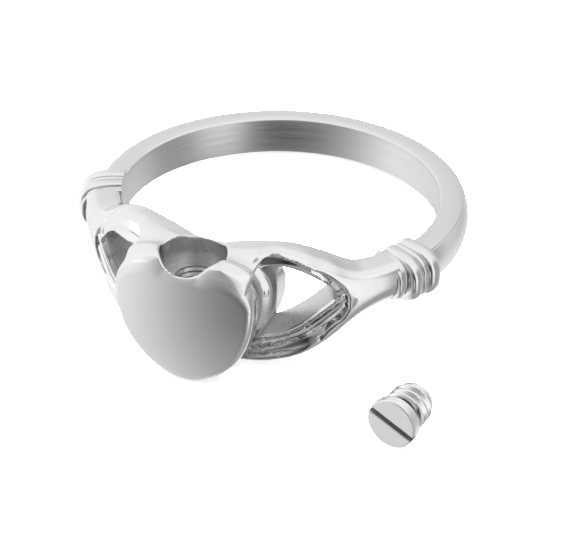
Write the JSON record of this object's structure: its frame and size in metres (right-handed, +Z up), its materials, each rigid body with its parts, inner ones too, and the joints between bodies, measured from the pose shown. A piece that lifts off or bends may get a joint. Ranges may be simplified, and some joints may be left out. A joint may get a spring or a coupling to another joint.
{
  "type": "claddagh memorial ring with closure screw",
  "caption": "Steel finger ring with two hands holding a hollow heart that opens by a slotted screw, lying on its side with the screw removed beside it",
  "frame": {"origin": "centre of the finger bore, at the middle of the band's width", "axes": "+Z up from the surface that the ring lies on, heart towards -Y; the bore's axis leans 9 degrees from +Z, towards +Y, because the heart is deeper than the band"},
  "size_m": [0.0243, 0.0232, 0.0072],
  "materials": {
    "ring_steel": "polished cast stainless steel outside, brushed round the inside of the bore, satin on the heart's face",
    "screw_steel": "turned stainless steel, lightly brushed on the head's face"
  },
  "bodies": {
    "ring": {"ring": "ring_steel"},
    "closure_screw": {"closure_screw": "screw_steel"}
  },
  "joints": [
    {"name": "screw_lift", "type": "slide", "parent": "ring", "child": "closure_screw", "axis": [0, 0, 1], "range_m": [0, 0.012]}
  ]
}
